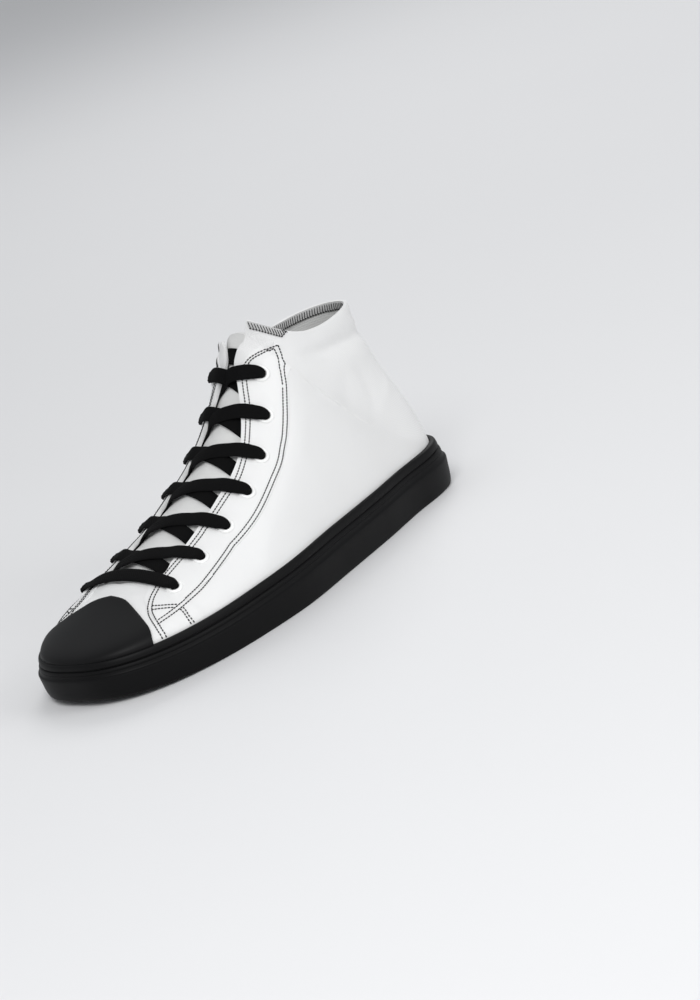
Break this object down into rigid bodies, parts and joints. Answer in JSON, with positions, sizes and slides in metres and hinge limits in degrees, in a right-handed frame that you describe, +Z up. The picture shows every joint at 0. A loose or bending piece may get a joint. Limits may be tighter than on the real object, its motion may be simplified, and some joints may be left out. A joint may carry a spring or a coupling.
{
  "type": "high top sneaker",
  "caption": "Left high top canvas sneaker with rubber cup sole, toe cap and flat lacing, empty and standing on its sole.",
  "frame": {"origin": "on the ground under the middle of the heel, on the sole's flat underside", "axes": "+X toward the toe, +Y toward the outer side of the left foot, +Z up"},
  "size_m": [0.298, 0.1179, 0.1416],
  "materials": {
    "outsole": "black moulded rubber, satin",
    "toe_cap": "black smooth rubber, satin",
    "insole": "textile over foam",
    "upper": "white cotton canvas",
    "tongue": "white cotton canvas",
    "eyestay": "white cotton canvas, stitched",
    "eyelet": "white enamelled metal",
    "lace": "black flat cotton weave"
  },
  "bodies": {
    "root": {"outsole": "outsole", "insole": "insole", "upper": "upper", "toe_cap": "toe_cap", "tongue": "tongue", "eyestay_outer": "eyestay", "eyestay_inner": "eyestay", "eyelet_outer_1": "eyelet", "eyelet_outer_2": "eyelet", "eyelet_outer_3": "eyelet", "eyelet_outer_4": "eyelet", "eyelet_outer_5": "eyelet", "eyelet_outer_6": "eyelet", "eyelet_outer_7": "eyelet", "eyelet_inner_1": "eyelet", "eyelet_inner_2": "eyelet", "eyelet_inner_3": "eyelet", "eyelet_inner_4": "eyelet", "eyelet_inner_5": "eyelet", "eyelet_inner_6": "eyelet", "eyelet_inner_7": "eyelet", "lace_bar": "lace", "lace_crossing_1": "lace", "lace_crossing_2": "lace", "lace_crossing_3": "lace", "lace_crossing_4": "lace", "lace_crossing_5": "lace", "lace_crossing_6": "lace"}
  },
  "joints": []
}
